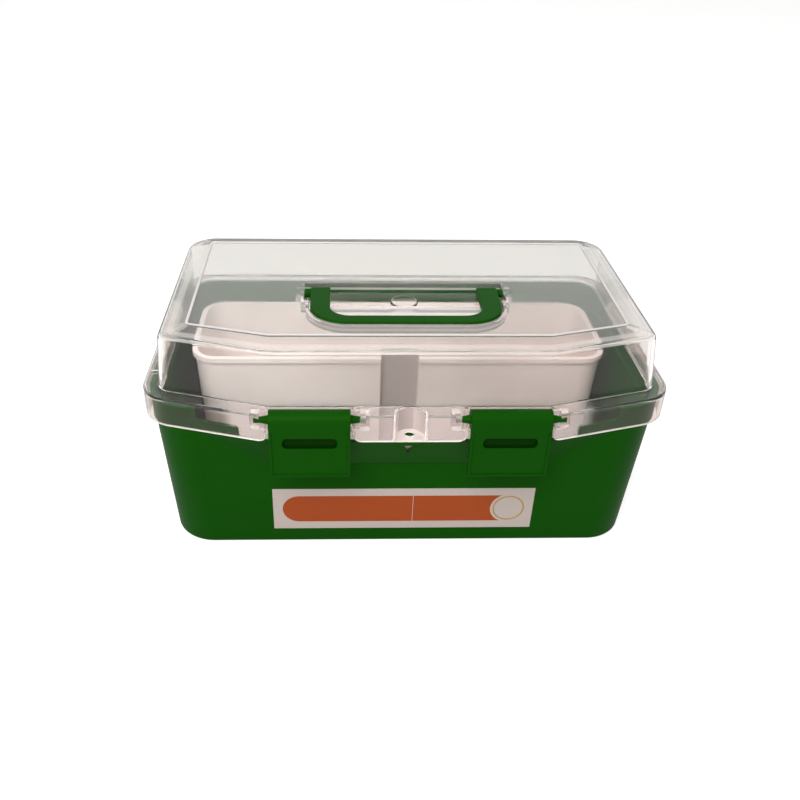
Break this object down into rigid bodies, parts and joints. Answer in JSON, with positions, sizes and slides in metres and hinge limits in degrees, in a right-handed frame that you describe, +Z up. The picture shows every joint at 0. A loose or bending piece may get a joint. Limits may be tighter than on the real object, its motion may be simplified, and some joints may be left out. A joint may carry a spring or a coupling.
{
  "type": "rigid specimen carry case",
  "caption": "Rigid plastic carry case for specimens: green tub, clear hinged lid with a folding handle, front latches and a white lift-out box.",
  "frame": {"origin": "centre of the base, on the surface the case stands on", "axes": "+X along the case to the right seen from the latch side, +Y to the hinge side, +Z up"},
  "size_m": [0.335, 0.2106, 0.1573],
  "materials": {
    "green_plastic": "smooth moulded polypropylene",
    "clear_plastic": "clear moulded polystyrene",
    "steel": "plain drawn rod",
    "white_plastic": "smooth moulded polypropylene",
    "label_film": "printed film"
  },
  "bodies": {
    "case": {"tub": "green_plastic", "hinge_rod": "steel", "label": "label_film"},
    "lid": {"lid": "clear_plastic"},
    "handle": {"handle": "green_plastic"},
    "latch_left": {"latch_left": "green_plastic"},
    "latch_right": {"latch_right": "green_plastic"},
    "inner_box": {"inner_box": "white_plastic"}
  },
  "joints": [
    {"name": "lid_hinge", "type": "hinge", "parent": "case", "child": "lid", "pos_m": [0, 0.103, 0.101], "axis": [-1, 0, 0], "range_deg": [0, 110]},
    {"name": "handle_pivot", "type": "hinge", "parent": "lid", "child": "handle", "pos_m": [0, -0.0045, 0.1534], "axis": [-1, 0, 0], "range_deg": [0, 95]},
    {"name": "latch_left_pivot", "type": "hinge", "parent": "lid", "child": "latch_left", "pos_m": [-0.06125, -0.097, 0.114], "axis": [-1, 0, 0], "range_deg": [0, 110]},
    {"name": "latch_right_pivot", "type": "hinge", "parent": "lid", "child": "latch_right", "pos_m": [0.06125, -0.097, 0.114], "axis": [-1, 0, 0], "range_deg": [0, 110]},
    {"name": "inner_box_lift", "type": "slide", "parent": "case", "child": "inner_box", "axis": [0, 0, 1], "range_m": [0, 0.038]}
  ]
}
